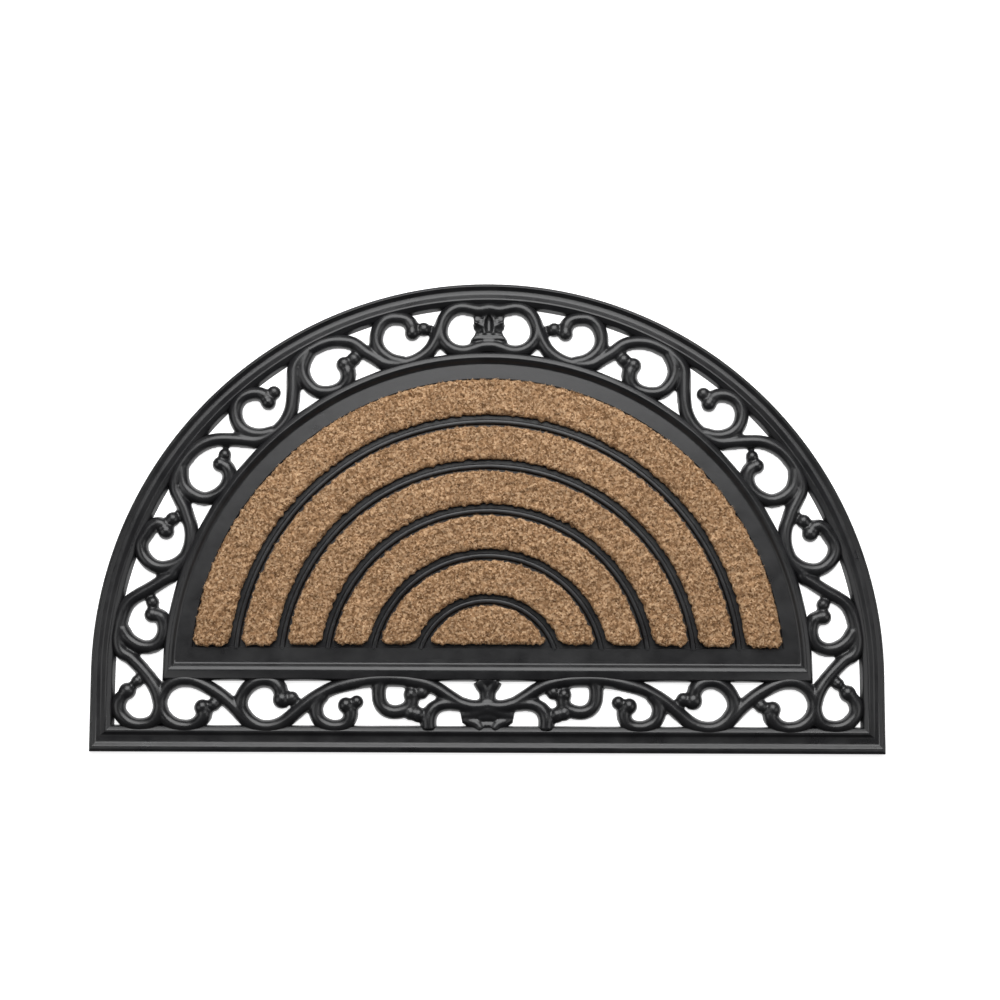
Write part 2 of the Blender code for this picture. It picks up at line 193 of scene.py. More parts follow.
# The front's vine, and its four curls from the corner inwards.
FRONT_VINE = [
    (0, 44.5), (8, 43.3), (16, 43.6), (25, 46), (31.5, 49.8), (38.5, 54.3), (47.5, 60),
    (60, 65.3, 1.05), (75, 68.4, 1.1), (90, 69.5, 1.1), (105, 69.3, 1.1), (120, 67.3, 1.08),
    (132, 64.5, 1.05), (145, 60.8), (156.5, 55.3), (165.3, 50), (173.4, 43.9), (181, 37.3),
    (187, 32.3), (194, 27.4), (202, 24.3), (210, 23.6), (219, 25.4), (226, 29.3), (231.3, 33.9),
    (237.3, 40.3), (245.7, 48.2), (251.2, 52.6), (258.2, 57.3), (267, 62.2), (275, 65.8),
    (284, 68, 1.08), (296, 66, 1.05), (304.5, 59.3), (309, 50),
]
FRONT_CURLS = [
    [
        (300, 63.5), (306, 57.5), (309.2, 49.5), (308.7, 41.5), (305, 33.5),
        (297.5, 26.8), (288, 23.8), (278, 24.8), (270.3, 30.3, 1.05),
    ],
    [
        (216, 24.5), (223, 28.5), (229, 35), (232.8, 42.5), (232.8, 49.5), (229.5, 57),
        (223.5, 63.2), (216, 66.9), (208.5, 67.3), (201.6, 65.2, 1.05),
    ],
    [
        (156, 53.5), (161, 46.5), (162, 39.5), (159.5, 31.5), (152.5, 25.9),
        (143, 24), (134.6, 26.2), (130, 32),
    ],
    [
        (101, 66), (102.7, 60), (102.7, 53), (101.2, 46.5), (97.8, 41.7),
        (92.5, 38.8), (86.5, 38.1), (80, 39.5), (74.2, 43),
    ],
]
FRONT_ENDS = [
    [(267.0, 36.5, 1.08), (269.4, 41.8, 1.15), (258.7, 44.6, 1.12), (253, 46)],
    [(196.7, 60, 1.08), (194.5, 49.4, 1.26), (185, 50.6, 1.18), (178, 46)],
    [(129, 39), (133.7, 44.2, 1.15), (123.6, 47.4, 1.12), (122.4, 48.3)],
    [(71.5, 49.5), (72.3, 54.5, 1.07), (62.3, 56.6, 1.15), (54, 58)],
]

# The front's middle: a twig's knobs, the sprig beside the leaf, and the leaf with what is above and below it.
TWIG_KNOBS = [(56, 31, 1.05), (65.5, 35.8, 1.1), (72.5, 37.4, 1.05)]
SPRIG = [
    (20, 45), (29, 45.8), (38, 46.2), (47, 43.9),
    (53, 38.8, 1.08), (55.6, 31.5, 1.12), (55.3, 22, 1.12),
]
NECK = [(8, 68, 0.95), (6, 64, 0.92), (3, 58, 0.80), (2, 50, 0.80)]
CAP = [(0, 69, 1.0), (9.5, 68.8, 0.85)]
LEAF = [(0, 41, 1.0), (8, 38.3, 0.9), (16, 36.2, 0.8), (25.2, 35.4, 0.62)]
LEAF_FOOT = [(23.3, 32, 0.55), (17, 29.5, 0.75), (10.5, 27, 0.85), (6, 22, 0.9)]
FOOT = [(0, 26, 0.75), (17, 26, 0.6)]
HEART = [(0, 34, 0.8), (8, 33, 0.75)]

# The cartouche at the top of the arc, and the plain three-petalled flower in it. The flower's bars, but not
# its fills, are thin and tall.
CARTOUCHE = [
    (0, 19.5), (9, 18), (16, 19.5), (25, 21.5), (34.5, 19), (41.8, 12.2), (45.7, 4), (46.5, -4),
    (44, -11.5), (38.5, -17.5), (31, -20.8), (24, -21.6), (16, -20), (8, -17.8), (0, -17),
]
FLOWER_RISE = 2.1
PETAL_ARCH = [(0, 16, 0.32), (2.6, 13, 0.34), (4.4, 8, 0.36), (4.9, 1, 0.38), (4.2, -5, 0.40)]
PETAL_FILL = [(0, -5, 0.40), (0, 3, 0.34), (0, 12, 0.25)]
LOBE_TOP = [(5, 6, 0.34), (9.5, 9, 0.34), (14.3, 9.2, 0.32)]
LOBE_SIDE = [(4, 0.5, 0.40), (9, 3.6, 0.40), (14.2, 6.2, 0.44)]
BASE_TOP = [(0, -5.6, 0.36), (14, -6, 0.36)]
BASE_LOW = [(0, -9.6, 0.40), (16.6, -10.2, 0.40)]
LOBE_FILL = [(4, -2, 0.50), (9.5, -0.5, 0.50), (13.5, 3.2, 0.50)]
BASE_FILL = [
    [(-14.5, -8, 0.45), (14.5, -8, 0.45)],
    [(-18.6, -13.5, 0.55), (0, -13.5, 0.55), (18.6, -13.5, 0.55)],
]

# The coir pile: a lumpy body, and bristles that stand out of it. The wave lengths are rough ones, and each
# spread is a range of shares.
PILE_TOP = 0.0128
PILE_BODY_TOP = 0.0112
PILE_GRID = 0.0016
PILE_LUMP = 0.00035
PILE_WOBBLE = 0.00045
PILE_GRAIN = 0.00030
LUMP_WAVE = 0.009
GRAIN_WAVE = 0.004
SWAY_WAVE = 0.007
WAVE_SPREAD = (0.6, 1.6)
WAVE_COUNT = 24
PILE_EDGE = 0.0035
PILE_EDGE_DROP = 0.0016
PILE_CORNER = 0.0070
PILE_CORNER_CUT = 0.0050
PILE_FRONT = 0.1022
PILE_FRONT_FALL = 0.0055
HALF_DISC_CLEAR = 0.0003
FRONT_TURN_LIMIT = 0.9999
BRISTLES_PER_M2 = 1.25e6
BRISTLE_WIDTH = 0.00075
BRISTLE_WIDTH_SPREAD = (0.6, 1.25)
BRISTLE_LENGTH = 0.0040
BRISTLE_LENGTH_SPREAD = (0.8, 1.15)
BRISTLE_LEAN = 0.55
BRISTLE_SWAY = 0.25
BRISTLE_SPLAY = 0.9
TIP_SPREAD = 0.0004
TIP_RISE_LIMIT = 0.0014
TIP_EDGE_SHARE = 0.6

# Rubber and coir: colours and gloss by place on a ramp, scales of the patterns, and each bump's strength and
# distance.
RUBBER_TONES = [(0.35, (0.008, 0.008, 0.009)), (0.65, (0.015, 0.015, 0.016))]
RUBBER_GLOSS = [(0.3, (0.27, 0.27, 0.27)), (0.7, (0.36, 0.36, 0.36))]
RUBBER_MOTTLE_SCALE = 45.0
RUBBER_GRAIN_SCALE = 900.0
RUBBER_MOTTLE_BUMP = (0.15, 0.0012)
RUBBER_GRAIN_BUMP = (0.18, 0.0003)
COIR_TONES = [
    (0.0, (0.150, 0.079, 0.037)),
    (0.25, (0.275, 0.157, 0.078)),
    (0.6, (0.405, 0.250, 0.134)),
    (1.0, (0.600, 0.420, 0.262)),
]
COIR_PATCHES = [(0.3, (0.82, 0.80, 0.78)), (0.7, (1.12, 1.10, 1.08))]
COIR_SPECK_SCALE = 650.0
COIR_PATCH_SCALE = 70.0
COIR_FIBRE_SCALE = 1400.0
COIR_FIBRE_BUMP = (0.5, 0.0004)

# The floor and the lights: each light's name, place, aim, sides and power.
FLOOR_GREY = 0.92
FLOOR_GLOW = 0.75
FLOOR_REACH = 6.0
FLOOR_DROP = 0.0003
WORLD_GREY = 0.07
LIGHTS = [
    ("back_light", (0.0, 1.15, 1.40), (0.0, 0.05, 0.0), (1.8, 1.75), 50.0),
    ("left_light", (-1.7, -0.2, 1.3), (0.0, 0.0, 0.0), (1.2, 1.2), 7.0),
    ("right_light", (1.7, -0.2, 1.3), (0.0, 0.0, 0.0), (1.2, 1.2), 7.0),
]

# The camera looks down from a little in front of the mat's middle. The origin is at this pixel of the frame.
CAMERA_ELEVATION_DEG = 83.38
CAMERA_DISTANCE = 2.0
CAMERA_ROLL_DEG = 0.22
CAMERA_SENSOR_MM = 36.0
CAMERA_REACH = 50.0
FRAME_PIXELS = 1000
METRES_PER_PIXEL = 0.000956
ORIGIN_COLUMN = 488.2
ORIGIN_ROW = 516.2


def outline(radius, front_y, centre_y):
    """Points of a D lying on its straight side, from its front right corner round to its front left one.
    Where the front is behind the centre, the D has no upright sides."""
    sides = front_y < centre_y
    start = 0.0 if sides else math.asin((front_y - centre_y) / radius)
    count = ARC_STEPS if sides else ARC_STEPS + 2
    turns = [start + (math.pi - 2 * start) * i / count for i in range(count + 1)]
    arc = [(radius * math.cos(t), centre_y + radius * math.sin(t)) for t in turns]
    if sides:
        return [(radius, front_y), *arc, (-radius, front_y)]
    return arc


def rounded(section):
    """A section with each corner turned into a short arc that goes as far along its sides as its row says."""
    made = []
    for i, point in enumerate(section):
        here = Vector(point[:3])
        if not point.round:
            made.append(here)
            continue
        before = Vector(section[i - 1][:3]) - here
        after = Vector(section[i + 1][:3]) - here
        start = here + before.normalized() * min(point.round, before.length * ROUND_REACH)
        end = here + after.normalized() * min(point.round, after.length * ROUND_REACH)
        for k in range(ROUND_STEPS + 1):
            t = k / ROUND_STEPS
            made.append(start * (1 - t) ** 2 + here * 2 * t * (1 - t) + end * t ** 2)
    return made


def new_object(name, mesh):
    obj = bpy.data.objects.new(name, mesh)
    bpy.context.scene.collection.objects.link(obj)
    return obj


def mesh_from(name, points, faces):
    mesh = bpy.data.meshes.new(name)
    mesh.from_pydata(points, [], faces)
    bm = bmesh.new()
    bm.from_mesh(mesh)
    bmesh.ops.recalc_face_normals(bm, faces=bm.faces)
    bm.to_mesh(mesh)
    bm.free()
    return mesh


def loft(name, loops, ring=False):
    """Joins closed loops of equally many points. A ring ends on its first loop, and a stack is capped."""
    count = len(loops[0])
    points = [p for loop in loops for p in loop]
    faces = []
    pairs = len(loops) if ring else len(loops) - 1
    for i in range(pairs):
        a = i * count
        b = (i + 1) % len(loops) * count
        for k in range(count):
            after = (k + 1) % count
            faces.append((a + k, a + after, b + after, b + k))
    if not ring:
        faces.append(tuple(range(count)))
        faces.append(tuple(range(len(points) - count, len(points))))
    return new_object(name, mesh_from(name, points, faces))


def shade(obj):
    obj.data.shade_smooth()
    obj.data.set_sharp_from_angle(angle=math.radians(SHARP_ANGLE_DEG))


def d_loops(section, radius, front_y, centre_y):
    """The section's loops in space, D-shaped."""
    loops = []
    for arc, front, height in rounded(section):
        flat = outline(radius - arc, front_y + front, centre_y)
        loops.append([(x, y, height) for x, y in flat])
    return loops


def rim():
    obj = loft("rubber_rim", d_loops(RIM_SECTION, ARC_RADIUS, FRONT_Y, CENTRE_Y), ring=True)
    shade(obj)
    return obj


def tray():
    loops = d_loops(TRAY_SECTION, TRAY_RADIUS, TRAY_FRONT_Y, TRAY_CENTRE_Y)
    band = TRAY_SECTION[-1].height
    radius = coir_radii(COIR_BANDS - 1)[0] + STEP_OUT
    front = coir_front() - STEP_FRONT
    for inset, height in ((0.0, band), (STEP_EDGE, band - STEP_EDGE), (STEP_LEAN, FLOOR_HEIGHT)):
        flat = outline(radius - inset, front + inset, COIR_CENTRE_Y)
        loops.append([(x, y, height) for x, y in flat])
    obj = loft("rubber_tray", loops)
    shade(obj)
    return obj


def rib(index):
    """The rib in the groove outside one band of coir, ending against the tray's flat band."""
    middle = coir_radii(index)[0] + RIB_OUT
    front = coir_front() - 2 * STEP_FRONT
    start = math.asin((front - COIR_CENTRE_Y) / middle)
    loops = []
    for k in range(ARC_STEPS + 1):
        turn = start + (math.pi - 2 * start) * k / ARC_STEPS
        across = Vector((math.cos(turn), math.sin(turn)))
        loop = []
        for offset, _, height in rounded(RIB_SECTION):
            place = across * (middle + offset)
            loop.append((place.x, COIR_CENTRE_Y + place.y, height))
        loops.append(loop)
    obj = loft(f"rubber_rib_{index}", loops)
    shade(obj)
    return obj


def coir_front():
    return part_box("coir_band_0")[0].y


def coir_radii(index):
    """Outer and inner radius of one band. The half disc's inner one only just clears the straight front."""
    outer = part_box(f"coir_band_{index}")[1].y - COIR_CENTRE_Y
    if index == 0:
        return outer, FRONT_Y + PILE_FRONT - COIR_CENTRE_Y + HALF_DISC_CLEAR
    return outer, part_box(f"coir_band_{index - 1}")[1].y - COIR_CENTRE_Y + COIR_GROOVE


def on_arc(row):
    """World place and size of a row that is counted round the arc."""
    turn = math.pi / 2 - row[0] / 1000 / LANE_MIDDLE
    radius = LANE_MIDDLE + row[1] / 1000
    size = row[2] if len(row) > 2 else 1.0
    return radius * math.cos(turn), CENTRE_Y + radius * math.sin(turn), size


def on_front(row):
    """World place and size of a row that is counted along the front."""
    return row[0] / 1000, FRONT_Y + row[1] / 1000, row[2] if len(row) > 2 else 1.0


def from_curl(rows, along, across):
    """Rows counted from a curl's place, as rows of the arc."""
    return [(along + row[0], across + row[1], *row[2:]) for row in rows]


def across_middle(rows):
    """The whole of a bar that starts on the middle line, from its right half."""
    return [(-row[0], *row[1:]) for row in rows[:0:-1]] + rows


def bar(name, points, closed=False, mirror=1, rise=1.0):
    """One bar of scrollwork, rounded above and flat on the floor, through points of (x, y, size). Its height
    is its size's share of the full height, times the rise."""
    curve = bpy.data.curves.new(name, "CURVE")
    curve.dimensions = "3D"
    curve.bevel_depth = BAR_HALF_WIDTH
    curve.bevel_resolution = (BAR_SIDES - 4) // 2
    curve.resolution_u = BAR_STEPS
    curve.use_fill_caps = True
    spline = curve.splines.new("BEZIER")
    spline.use_cyclic_u = closed
    spline.bezier_points.add(len(points) - 1)
    for point, (x, y, size) in zip(spline.bezier_points, points):
        point.co = (mirror * x, y, 0.0)
        point.radius = size
        point.handle_left_type = "AUTO"
        point.handle_right_type = "AUTO"
    guide = new_object(name + "_guide", curve)
    bpy.context.view_layer.update()
    mesh = bpy.data.meshes.new_from_object(guide.evaluated_get(bpy.context.evaluated_depsgraph_get()))
    bpy.data.objects.remove(guide)
    for vert in mesh.vertices:
        vert.co.z = max(0.0, vert.co.z * rise * BAR_HEIGHT / BAR_HALF_WIDTH)
    return new_object(name, mesh)


def ball(name, point, radius, height, mirror=1):
    """A knob at a point of (x, y, size)."""
    x, y, size = point
    bm = bmesh.new()
    bmesh.ops.create_uvsphere(bm, u_segments=KNOB_SEGMENTS, v_segments=KNOB_RINGS, radius=radius * size)
    stretch = (height - KNOB_RISE) / (radius * size)
    bmesh.ops.scale(bm, vec=(1.0, 1.0, stretch), verts=bm.verts)
    for vert in bm.verts:
        vert.co = (mirror * (vert.co.x + x), vert.co.y + y, max(0.0, vert.co.z + KNOB_RISE))
    bmesh.ops.recalc_face_normals(bm, faces=bm.faces)
    mesh = bpy.data.meshes.new(name)
    bm.to_mesh(mesh)
    bm.free()
    return new_object(name, mesh)


def curls():
    """Points of every curl of the right half, in order from the arc's middle: its ring, then its ends."""
    made = []
    for i, (along, across, _) in enumerate(CURL_PLACES):
        ring = from_curl(CURL_HIGH if i % 2 else CURL_LOW, along, across)
        made.append([on_arc(row) for row in ring + CURL_ENDS[i]])
    made.append([on_arc(row) for row in CURL_LAST + ENDS_LAST])
    made.append([on_front(row) for row in CURL_CORNER + ENDS_CORNER])
    for ring, ends in zip(FRONT_CURLS, FRONT_ENDS):
        made.append([on_front(row) for row in ring + ends])
    return made


def arc_vine():
    """The vine from the cartouche to the corner."""
    rows = list(VINE_START)
    for i, (along, _, across) in enumerate(CURL_PLACES):
        swing = VINE_HIGH if i % 2 else VINE_LOW
        first = 1 if i == 0 else 0
        last = -2 if i == len(CURL_PLACES) - 1 else None
        rows += from_curl(swing, along, across)[first:last]
    return [on_arc(row) for row in rows + VINE_LAST] + [on_front(row) for row in VINE_CORNER]


def scrollwork_bars():
    """The bars and knobs that come in pairs, then those that cross the middle line."""
    bars = [("arc_vine", arc_vine()), ("sprig", [on_front(row) for row in SPRIG])]
    bars += [("leaf_foot", [on_front(row) for row in LEAF_FOOT]), ("neck", [on_front(row) for row in NECK])]
    bars.append(("lobe_fill", [on_arc(row) for row in LOBE_FILL]))
    lobes = [[on_arc(row) for row in rows] for rows in (LOBE_TOP, LOBE_SIDE)]
    knobs = [on_front(row) for row in TWIG_KNOBS]
    tips = []
    for i, points in enumerate(curls()):
        knob, tip, root = points[-3:]
        stem = [(*point[:2], size) for point, size in zip((knob, tip, root), TIP_STEM_SIZES)]
        bars.append((f"curl_{i}", points[:-3] + [(*knob[:2], CURL_END_SIZE)]))
        bars.append((f"curl_tip_{i}", stem))
        knobs.append(knob)
        tips.append(tip)
    made = []
    for mirror in (1, -1):
        made += [bar(name, points, mirror=mirror) for name, points in bars]
        made += [bar("lobe", points, mirror=mirror, rise=FLOWER_RISE) for points in lobes]
        made += [ball("knob", point, KNOB_RADIUS, KNOB_HEIGHT, mirror) for point in knobs]
        made += [ball("tip", point, TIP_RADIUS, TIP_HEIGHT, mirror) for point in tips]
    made.append(bar("cartouche", [on_arc(row) for row in across_middle(CARTOUCHE)[1:]], closed=True))
    for rows in (PETAL_ARCH, BASE_TOP, BASE_LOW):
        made.append(bar("flower", [on_arc(row) for row in across_middle(rows)], rise=FLOWER_RISE))
    for rows in (PETAL_FILL, *BASE_FILL):
        made.append(bar("fill", [on_arc(row) for row in rows]))
    for rows in (FRONT_VINE, CAP, LEAF, FOOT, HEART):
        made.append(bar("front", [on_front(row) for row in across_middle(rows)]))
    return made


def apply_modifiers(obj):
    """Gives an object its final mesh in place of its modifiers."""
    bpy.context.view_layer.update()
    mesh = bpy.data.meshes.new_from_object(obj.evaluated_get(bpy.context.evaluated_depsgraph_get()))
    obj.modifiers.clear()
    obj.data = mesh


def scrollwork():
    """All the bars melted into one moulding with soft fillets where they meet."""
    bm = bmesh.new()
    for piece in scrollwork_bars():
        bm.from_mesh(piece.data)
        bpy.data.objects.remove(piece)
    mesh = bpy.data.meshes.new("rubber_scrollwork")
    bm.to_mesh(mesh)
    bm.free()
    obj = new_object("rubber_scrollwork", mesh)
    remesh = obj.modifiers.new("melt", "REMESH")
    remesh.mode = "VOXEL"
    remesh.voxel_size = VOXEL
    soften = obj.modifiers.new("soften", "SMOOTH")
    soften.factor = SMOOTH_SHARE
    soften.iterations = SMOOTH_PASSES
    apply_modifiers(obj)
    for vert in obj.data.vertices:
        vert.co.z = max(0.0, vert.co.z)
    thin = obj.modifiers.new("thin", "DECIMATE")
    thin.ratio = KEPT_FACES
    apply_modifiers(obj)
    obj.data.shade_smooth()
    return obj


class Waves:
    """A smooth random field over the floor plane, made of plane waves of one rough length."""

    def __init__(self, rng, length):
        turn = rng.uniform(0, 2 * math.pi, WAVE_COUNT)
        size = 2 * math.pi / (length * rng.uniform(*WAVE_SPREAD, WAVE_COUNT))
        self.kx = size * np.cos(turn)
        self.ky = size * np.sin(turn)
        self.phase = rng.uniform(0, 2 * math.pi, WAVE_COUNT)
        self.share = math.sqrt(2 / WAVE_COUNT)

    def __call__(self, x, y):
        total = np.zeros_like(x)
        for kx, ky, phase in zip(self.kx, self.ky, self.phase):
            total += np.sin(kx * x + ky * y + phase)
        return total * self.share


def pile_front(radius, outer, inner, index):
    """Where the pile starts at this radius: further forward at a band's ends, and with rounded corners."""
    edge = outer - radius if index == 0 else np.minimum(outer - radius, radius - inner)
    corner = np.clip(1 - edge / PILE_CORNER, 0, 1) ** 2
    line = PILE_FRONT - PILE_FRONT_FALL * (radius / ARC_RADIUS) ** 2
    return np.maximum(FRONT_Y + line, coir_front()) + PILE_CORNER_CUT * corner


def pile_edge(radius, y, outer, inner, index):
    """Distance from a place in a band to its nearest side."""
    sides = outer - radius if index == 0 else np.minimum(outer - radius, radius - inner)
    return np.minimum(sides, y - pile_front(radius, outer, inner, index))


def pile_body(index, fields):
    """Vertices and faces of the lumpy body of one band: rows of sections that run from end to end."""
    lumps, grains, sway_x, sway_y = fields
    outer, inner = coir_radii(index)
    across = round((outer - inner) / PILE_GRID)
    along = round(math.pi * (outer + inner) / 2 / PILE_GRID)
    radius = np.linspace(inner, outer, across + 1)
    front = pile_front(radius, outer, inner, index) - COIR_CENTRE_Y
    start = np.arcsin(np.clip(front / radius, -1, FRONT_TURN_LIMIT))
    share = np.linspace(0, 1, along + 1)[:, None]
    turn = start[None, :] + (math.pi - 2 * start[None, :]) * share
    x = radius[None, :] * np.cos(turn)
    y = COIR_CENTRE_Y + radius[None, :] * np.sin(turn)
    edge = pile_edge(np.broadcast_to(radius, x.shape), y, outer, inner, index)
    drop = PILE_EDGE_DROP * np.clip(1 - edge / PILE_EDGE, 0, 1) ** 2
    z = PILE_BODY_TOP - drop + PILE_LUMP * lumps(x, y) + PILE_GRAIN * grains(x, y)
    x, y = x + PILE_WOBBLE * sway_x(x, y), y + PILE_WOBBLE * sway_y(x, y)
    low = np.full((along + 1, 1), FLOOR_HEIGHT)
    xs = np.concatenate([x[:, :1], x, x[:, -1:]], axis=1)
    ys = np.concatenate([y[:, :1], y, y[:, -1:]], axis=1)
    zs = np.concatenate([low, z, low], axis=1)
    count = across + 3
    points = np.stack([xs, ys, zs], axis=2).reshape(-1, 3)
    rows = np.arange(along)[:, None] * count
    cols = np.arange(count)[None, :]
    after = (cols + 1) % count
    quads = np.stack([rows + cols, rows + after, rows + count + after, rows + count + cols], axis=2)
    return points, quads.reshape(-1, 4), count


def bristles(index, fields, rng):
    """Vertices and faces of one band's bristles: thin closed spikes rooted in the body, leaning every way."""
    lumps, sway_x, sway_y = fields
    outer, inner = coir_radii(index)
    count = int(BRISTLES_PER_M2 * math.pi / 2 * (outer ** 2 - inner ** 2))
    radius = np.sqrt(rng.uniform(inner ** 2, outer ** 2, count))
    turn = rng.uniform(0, math.pi, count)
    x = radius * np.cos(turn)
    y = COIR_CENTRE_Y + radius * np.sin(turn)
    kept = y > pile_front(radius, outer, inner, index)
    x, y, radius, turn = x[kept], y[kept], radius[kept], turn[kept]
    count = len(x)
    edge = pile_edge(radius, y, outer, inner, index)
    near = np.clip(1 - edge / PILE_EDGE, 0, 1) ** 2

    to_inner = np.where(index == 0, 1.0, radius - inner)
    to_front = y - pile_front(radius, outer, inner, index)
    side = np.argmin(np.stack([outer - radius, to_inner, to_front]), axis=0)
    out_x = np.where(side == 0, np.cos(turn), np.where(side == 1, -np.cos(turn), 0.0))
    out_y = np.where(side == 0, np.sin(turn), np.where(side == 1, -np.sin(turn), -1.0))

    lean_turn = rng.uniform(0, 2 * math.pi, count)
    lean = BRISTLE_LEAN * np.sqrt(rng.uniform(0, 1, count))
    dx = lean * np.cos(lean_turn) + BRISTLE_SWAY * sway_x(x, y) + BRISTLE_SPLAY * near * out_x
    dy = lean * np.sin(lean_turn) + BRISTLE_SWAY * sway_y(x, y) + BRISTLE_SPLAY * near * out_y
    length = BRISTLE_LENGTH * rng.uniform(*BRISTLE_LENGTH_SPREAD, count)
    way = np.stack([dx, dy, np.ones(count)], axis=1)
    way /= np.linalg.norm(way, axis=1, keepdims=True)
    tip_z = PILE_TOP + PILE_LUMP * lumps(x, y) + rng.normal(0, TIP_SPREAD, count)
    tip_z = np.minimum(tip_z - TIP_EDGE_SHARE * PILE_EDGE_DROP * near, PILE_TOP + TIP_RISE_LIMIT)
    x, y = x + PILE_WOBBLE * sway_x(x, y), y + PILE_WOBBLE * sway_y(x, y)
    tip = np.stack([x, y, tip_z], axis=1)
    tip[:, :2] += way[:, :2] * length[:, None] / 2
    root = tip - way * length[:, None]

    first = np.cross(way, np.array([1.0, 0.0, 0.0]))
    first /= np.linalg.norm(first, axis=1, keepdims=True)
    second = np.cross(way, first)
    spin = rng.uniform(0, 2 * math.pi, count)
    width = BRISTLE_WIDTH * rng.uniform(*BRISTLE_WIDTH_SPREAD, count)
    points = np.empty((count, 4, 3))
    for k in range(3):
        angle = spin + 2 * math.pi * k / 3
        outwards = first * np.cos(angle)[:, None] + second * np.sin(angle)[:, None]
        points[:, k] = root + outwards * width[:, None] / 2
    points[:, 3] = tip
    base = np.arange(count)[:, None] * 4
    corner = np.array([[0, 1, 3], [1, 2, 3], [2, 0, 3], [2, 1, 0]]).reshape(1, -1)
    return points.reshape(-1, 3), (base + corner).reshape(-1, 3)


def raw_mesh(name, points, quads, triangles, caps):
    """A mesh from arrays of points, four-sided and three-sided faces, and a few many-sided caps."""
    mesh = bpy.data.meshes.new(name)
    corners = np.concatenate([quads.reshape(-1), triangles.reshape(-1), *[np.asarray(c) for c in caps]])
    sizes = np.concatenate([np.full(len(quads), 4), np.full(len(triangles), 3), [len(c) for c in caps]])
    starts = np.concatenate([[0], np.cumsum(sizes)[:-1]])
    mesh.vertices.add(len(points))
    mesh.vertices.foreach_set("co", points.astype(np.float32).reshape(-1))
    mesh.loops.add(len(corners))
    mesh.loops.foreach_set("vertex_index", corners.astype(np.int32))
    mesh.polygons.add(len(sizes))
    mesh.polygons.foreach_set("loop_start", starts.astype(np.int32))
    mesh.update(calc_edges=True)
    mesh.validate()
    return mesh


def coir_band(index, lumps, grains, sways):
    rng = np.random.default_rng(SEED + index)
    body, quads, count = pile_body(index, (lumps, grains, *sways))
    spikes, triangles = bristles(index, (lumps, *sways), rng)
    caps = [np.arange(count)[::-1], np.arange(len(body) - count, len(body))]
    points = np.concatenate([body, spikes])
    name = f"coir_pile_{index}"
    return new_object(name, raw_mesh(name, points, quads, triangles + len(body), caps))


def new_material(name):
    made = bpy.data.materials.new(name)
    made.use_nodes = True
    tree = made.node_tree
    return made, tree, tree.nodes["Principled BSDF"]


def noise(tree, vector, scale, detail, rough):
    node = tree.nodes.new("ShaderNodeTexNoise")
    node.inputs["Scale"].default_value = scale
    node.inputs["Detail"].default_value = detail
    node.inputs["Roughness"].default_value = rough
    tree.links.new(vector, node.inputs["Vector"])
    return node.outputs["Fac"]


def ramp(tree, value, stops):
    """Colour by value, from (place, colour) stops."""
    node = tree.nodes.new("ShaderNodeValToRGB")
    elements = node.color_ramp.elements
    while len(elements) < len(stops):
        elements.new(0.5)
    for element, (place, colour) in zip(elements, stops):
        element.position = place
        element.color = (*colour, 1.0)
    tree.links.new(value, node.inputs["Fac"])
    return node.outputs["Color"]


def bump(tree, height, strength, distance, before=None):
    node = tree.nodes.new("ShaderNodeBump")
    node.inputs["Strength"].default_value = strength
    node.inputs["Distance"].default_value = distance
    tree.links.new(height, node.inputs["Height"])
    if before:
        tree.links.new(before, node.inputs["Normal"])
    return node.outputs["Normal"]


def rubber_material():
    """Black moulded rubber: satin, a little mottled, with a fine grain."""
    made, tree, shader = new_material("black_rubber")
    place = tree.nodes.new("ShaderNodeTexCoord").outputs["Object"]
    mottle = noise(tree, place, RUBBER_MOTTLE_SCALE, detail=5.0, rough=0.6)
    grain = noise(tree, place, RUBBER_GRAIN_SCALE, detail=3.0, rough=0.6)
    tree.links.new(ramp(tree, mottle, RUBBER_TONES), shader.inputs["Base Color"])
    tree.links.new(ramp(tree, mottle, RUBBER_GLOSS), shader.inputs["Roughness"])
    fine = bump(tree, grain, *RUBBER_GRAIN_BUMP)
    tree.links.new(bump(tree, mottle, *RUBBER_MOTTLE_BUMP, fine), shader.inputs["Normal"])
    shader.inputs["Specular IOR Level"].default_value = 0.5
    return made


def coir_material():
    """Coir: tan, with fine specks of four tones, and lighter and darker patches."""
    made, tree, shader = new_material("coir")
    place = tree.nodes.new("ShaderNodeTexCoord").outputs["Object"]
    speck = tree.nodes.new("ShaderNodeTexVoronoi")
    speck.inputs["Scale"].default_value = COIR_SPECK_SCALE
    tree.links.new(place, speck.inputs["Vector"])
    split = tree.nodes.new("ShaderNodeSeparateColor")
    tree.links.new(speck.outputs["Color"], split.inputs["Color"])
    tone = ramp(tree, split.outputs["Red"], COIR_TONES)
    patch = ramp(tree, noise(tree, place, COIR_PATCH_SCALE, detail=4.0, rough=0.6), COIR_PATCHES)
    mix = tree.nodes.new("ShaderNodeMix")
    mix.data_type = "RGBA"
    mix.blend_type = "MULTIPLY"
    mix.inputs["Factor"].default_value = 1.0
    tree.links.new(tone, mix.inputs["A"])
    tree.links.new(patch, mix.inputs["B"])
    tree.links.new(mix.outputs["Result"], shader.inputs["Base Color"])
    fibre = noise(tree, place, COIR_FIBRE_SCALE, detail=2.0, rough=0.55)
    tree.links.new(bump(tree, fibre, *COIR_FIBRE_BUMP), shader.inputs["Normal"])
    shader.inputs["Roughness"].default_value = 0.9
    shader.inputs["Specular IOR Level"].default_value = 0.2
    return made


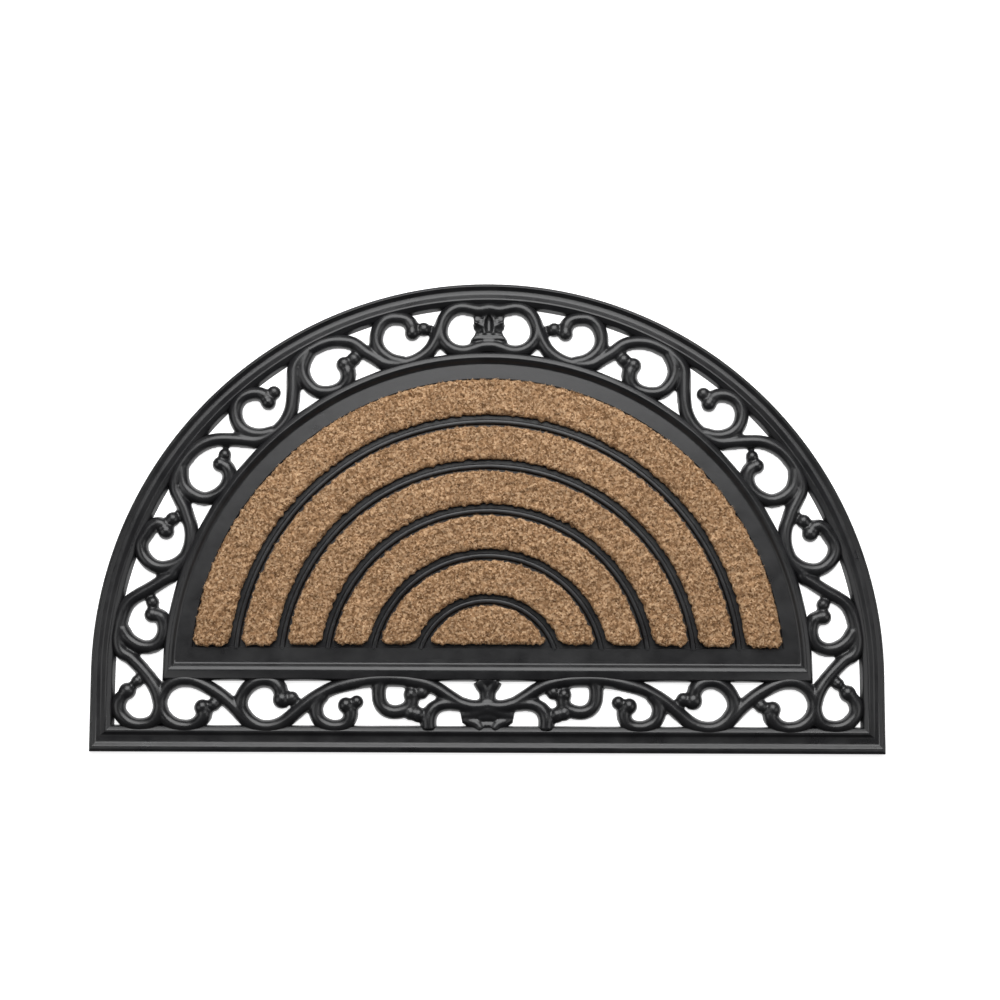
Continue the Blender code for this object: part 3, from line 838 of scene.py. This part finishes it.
def floor():
    """A pale floor that glows a little, so that it comes out white."""
    made, _, shader = new_material("pale_floor")
    shader.inputs["Base Color"].default_value = (FLOOR_GREY, FLOOR_GREY, FLOOR_GREY, 1.0)
    shader.inputs["Roughness"].default_value = 0.9
    shader.inputs["Specular IOR Level"].default_value = 0.1
    shader.inputs["Emission Color"].default_value = (1.0, 1.0, 1.0, 1.0)
    shader.inputs["Emission Strength"].default_value = FLOOR_GLOW
    bm = bmesh.new()
    bmesh.ops.create_grid(bm, x_segments=1, y_segments=1, size=FLOOR_REACH)
    mesh = bpy.data.meshes.new("floor")
    bm.to_mesh(mesh)
    bm.free()
    obj = new_object("floor", mesh)
    obj.location.z = -FLOOR_DROP
    obj.data.materials.append(made)


def area_light(name, place, aim, size, power):
    data = bpy.data.lights.new(name, "AREA")
    data.shape = "RECTANGLE"
    data.size, data.size_y = size
    data.energy = power
    obj = new_object(name, data)
    obj.location = place
    obj.rotation_euler = (Vector(aim) - Vector(place)).to_track_quat("-Z", "Y").to_euler()


def lights():
    """A soft light behind the arc, two weaker ones at the sides, and a dim grey world."""
    for name, place, aim, size, power in LIGHTS:
        area_light(name, place, aim, size, power)
    world = bpy.data.worlds.new("studio")
    bpy.context.scene.world = world
    world.use_nodes = True
    tree = world.node_tree
    background = tree.nodes["Background"]
    background.inputs["Strength"].default_value = 1.0
    background.inputs["Color"].default_value = (WORLD_GREY, WORLD_GREY, WORLD_GREY, 1.0)


def camera():
    data = bpy.data.cameras.new("camera")
    data.sensor_width = CAMERA_SENSOR_MM
    data.lens = CAMERA_SENSOR_MM * CAMERA_DISTANCE / (FRAME_PIXELS * METRES_PER_PIXEL)
    data.shift_x = 0.5 - ORIGIN_COLUMN / FRAME_PIXELS
    data.shift_y = ORIGIN_ROW / FRAME_PIXELS - 0.5
    data.clip_end = CAMERA_REACH
    obj = new_object("camera", data)
    elevation = math.radians(CAMERA_ELEVATION_DEG)
    back = Vector((0.0, -math.cos(elevation), math.sin(elevation)))
    obj.location = back * CAMERA_DISTANCE
    tilt = Euler((math.pi / 2 - elevation, 0.0, 0.0)).to_matrix()
    roll = Matrix.Rotation(math.radians(CAMERA_ROLL_DEG), 3, "Z")
    obj.rotation_euler = (tilt @ roll).to_euler()
    bpy.context.scene.camera = obj


def dress(obj, material, node):
    obj.data.materials.append(material)
    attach(obj, BODY)
    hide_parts(node)


def build():
    rubber = rubber_material()
    coir = coir_material()
    pieces = [rim(), tray(), scrollwork()]
    pieces += [rib(index) for index in range(COIR_BANDS - 1)]
    for piece in pieces:
        dress(piece, rubber, RUBBER_NODE)
    rng = np.random.default_rng(SEED)
    lumps = Waves(rng, LUMP_WAVE)
    grains = Waves(rng, GRAIN_WAVE)
    sways = (Waves(rng, SWAY_WAVE), Waves(rng, SWAY_WAVE))
    for index in range(COIR_BANDS):
        dress(coir_band(index, lumps, grains, sways), coir, f"coir_band_{index}")
    floor()
    lights()
    camera()
    bpy.context.scene.view_settings.view_transform = "Standard"


build()
